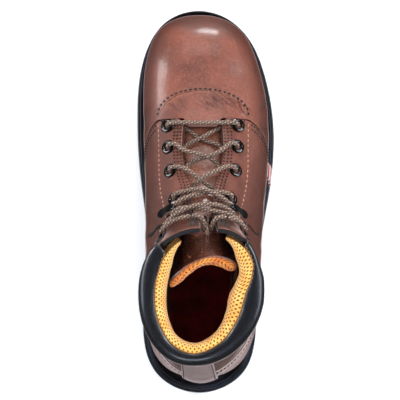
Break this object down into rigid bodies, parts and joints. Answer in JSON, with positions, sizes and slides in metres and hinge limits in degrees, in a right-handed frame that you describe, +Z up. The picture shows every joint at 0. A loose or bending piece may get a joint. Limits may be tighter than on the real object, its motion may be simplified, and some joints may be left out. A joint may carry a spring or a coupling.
{
  "type": "steel toe work boot",
  "caption": "Lace-up ankle-height safety work boot for the right foot, brown leather upper with a steel toe cap, padded collar, eyelets and speed hooks, and a lugged rubber sole.",
  "frame": {"origin": "on the ground, at the middle of the tread under the heel", "axes": "+X to the outer (lateral) side of this right boot, +Y towards the toe, +Z up"},
  "size_m": [0.1115, 0.309, 0.1776],
  "materials": {
    "brown_leather": "smooth pull-up leather, semi-gloss",
    "black_collar_leather": "soft padded leather, satin",
    "orange_mesh": "perforated knitted spacer mesh, matte",
    "foam": "open-cell foam, matte",
    "lining_textile": "non-woven lining, matte",
    "outsole_rubber": "moulded rubber, matte",
    "midsole_polyurethane": "moulded polyurethane foam, satin skin",
    "steel": "pressed steel",
    "black_metal": "gloss black enamel",
    "fibre_board": "pressed fibre, matte",
    "lace_cord": "braided cord, matte",
    "lace_tip_plastic": "smooth",
    "tab_fabric": "woven tape"
  },
  "bodies": {
    "boot": {"backstay": "brown_leather", "collar_cover": "black_collar_leather", "collar_foam": "foam", "collar_lining": "orange_mesh", "eyelet_inner_1": "black_metal", "eyelet_inner_2": "black_metal", "eyelet_inner_3": "black_metal", "eyelet_inner_4": "black_metal", "eyelet_outer_1": "black_metal", "eyelet_outer_2": "black_metal", "eyelet_outer_3": "black_metal", "eyelet_outer_4": "black_metal", "eyestay_inner": "brown_leather", "eyestay_outer": "brown_leather", "heel_counter": "fibre_board", "heel_counter_cover": "brown_leather", "hook_inner_1": "black_metal", "hook_inner_2": "black_metal", "hook_outer_1": "black_metal", "hook_outer_2": "black_metal", "hook_rivet_inner_1": "black_metal", "hook_rivet_inner_2": "black_metal", "hook_rivet_outer_1": "black_metal", "hook_rivet_outer_2": "black_metal", "insole_board": "fibre_board", "lace": "lace_cord", "midsole": "midsole_polyurethane", "outsole": "outsole_rubber", "quarter_inner": "brown_leather", "quarter_lining_inner": "lining_textile", "quarter_lining_outer": "lining_textile", "quarter_outer": "brown_leather", "shank": "steel", "side_tab": "tab_fabric", "steel_toe_cap": "steel", "toe_cap_edge_strip": "lining_textile", "vamp": "brown_leather", "vamp_lining": "lining_textile", "vamp_plug": "brown_leather"},
    "tongue": {"tongue_leather": "brown_leather", "tongue_foam": "foam", "tongue_lining": "orange_mesh"},
    "footbed": {"footbed": "foam"},
    "lace_end_inner": {"lace_end_inner": "lace_cord", "lace_tip_inner": "lace_tip_plastic"},
    "lace_end_outer": {"lace_end_outer": "lace_cord", "lace_tip_outer": "lace_tip_plastic"}
  },
  "joints": [
    {"name": "tongue_pivot", "type": "hinge", "parent": "boot", "child": "tongue", "pos_m": [0.002, 0.168, 0.083], "axis": [1, 0, 0], "range_deg": [0, 8]},
    {"name": "footbed_lift", "type": "hinge", "parent": "boot", "child": "footbed", "pos_m": [0, 0.2492, 0.034], "axis": [-1, 0, 0], "range_deg": [0, 8]},
    {"name": "lace_end_inner_swing", "type": "hinge", "parent": "boot", "child": "lace_end_inner", "pos_m": [-0.003, 0.087, 0.158], "axis": [0, 0.9292, 0.3697], "range_deg": [0, 10]},
    {"name": "lace_end_outer_swing", "type": "hinge", "parent": "boot", "child": "lace_end_outer", "pos_m": [0.012, 0.087, 0.158], "axis": [0, -0.9292, -0.3697], "range_deg": [0, 5]}
  ]
}
